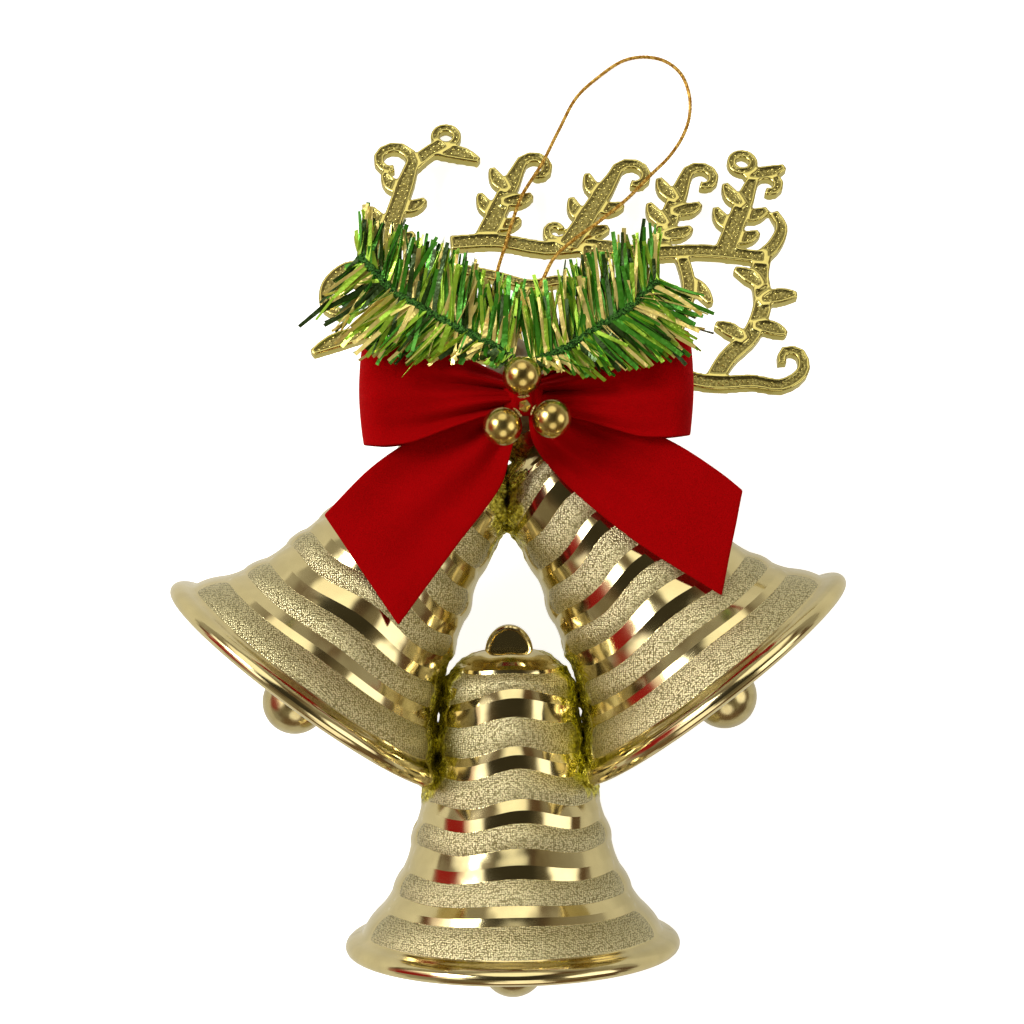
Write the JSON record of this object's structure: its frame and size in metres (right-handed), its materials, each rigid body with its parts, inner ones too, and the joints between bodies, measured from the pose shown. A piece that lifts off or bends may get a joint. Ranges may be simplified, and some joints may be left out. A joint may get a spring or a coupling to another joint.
{
  "type": "christmas bell ornament",
  "caption": "Hanging ornament: three flared bells with swinging clappers, fretwork sign, velvet bow, berries, tinsel and a cord loop.",
  "frame": {"origin": "middle of the ornament in X and Y without its cord, on the surface that it lies on", "axes": "+Y from the bells up to the hanging cord, +Z out of the front, +X to the right seen from the front"},
  "size_m": [0.1834, 0.2636, 0.09],
  "materials": {
    "gold_plastic": "metallised, smooth and stippled bands",
    "clapper_gold": "metallised gloss",
    "sign_gold": "metallised, pebbled face with a smooth border",
    "berry_gold": "metallised gloss",
    "gold_glitter": "glitter coated",
    "red_velvet": "velvet",
    "tinsel_foil": "metallic foil, green and gold",
    "tinsel_core": "twisted wire",
    "gold_thread": "twisted metallic thread",
    "steel_wire": "drawn wire",
    "hot_melt_glue": "translucent amber"
  },
  "bodies": {
    "root": {"bell_left_front": "gold_plastic", "bell_left_back": "gold_plastic", "bell_right_front": "gold_plastic", "bell_right_back": "gold_plastic", "bell_lower_front": "gold_plastic", "bell_lower_back": "gold_plastic", "clapper_pin_left": "steel_wire", "clapper_pin_right": "steel_wire", "clapper_pin_lower": "steel_wire", "bow_loop_left": "red_velvet", "bow_loop_right": "red_velvet", "bow_tail_left": "red_velvet", "bow_tail_right": "red_velvet", "bow_knot": "red_velvet", "glue_bead": "hot_melt_glue", "berry_hub": "gold_glitter", "berry_top": "berry_gold", "berry_left": "berry_gold", "berry_right": "berry_gold", "berry_collar_top": "gold_glitter", "berry_collar_left": "gold_glitter", "berry_collar_right": "gold_glitter", "berry_stem": "steel_wire", "tinsel_core_left": "tinsel_core", "tinsel_core_right": "tinsel_core", "tinsel_left_upper": "tinsel_foil", "tinsel_left_lower": "tinsel_foil", "tinsel_right_upper": "tinsel_foil", "tinsel_right_lower": "tinsel_foil", "scroll_sign": "sign_gold", "hanging_cord": "gold_thread", "cord_knot": "gold_thread"},
    "clapper_left": {"clapper_wire_left": "steel_wire", "clapper_ball_left": "clapper_gold"},
    "clapper_right": {"clapper_wire_right": "steel_wire", "clapper_ball_right": "clapper_gold"},
    "clapper_lower": {"clapper_wire_lower": "steel_wire", "clapper_ball_lower": "clapper_gold"}
  },
  "joints": [
    {"name": "clapper_left_swing", "type": "hinge", "parent": "root", "child": "clapper_left", "pos_m": [-0.01408, 0.01602, 0.045], "axis": [0, 0, 1], "range_deg": [-23, 23]},
    {"name": "clapper_right_swing", "type": "hinge", "parent": "root", "child": "clapper_right", "pos_m": [0.01408, 0.01602, 0.045], "axis": [0, 0, 1], "range_deg": [-23, 23]},
    {"name": "clapper_lower_swing", "type": "hinge", "parent": "root", "child": "clapper_lower", "pos_m": [0, -0.04084, 0.045], "axis": [0, 0, 1], "range_deg": [-23, 23]}
  ]
}
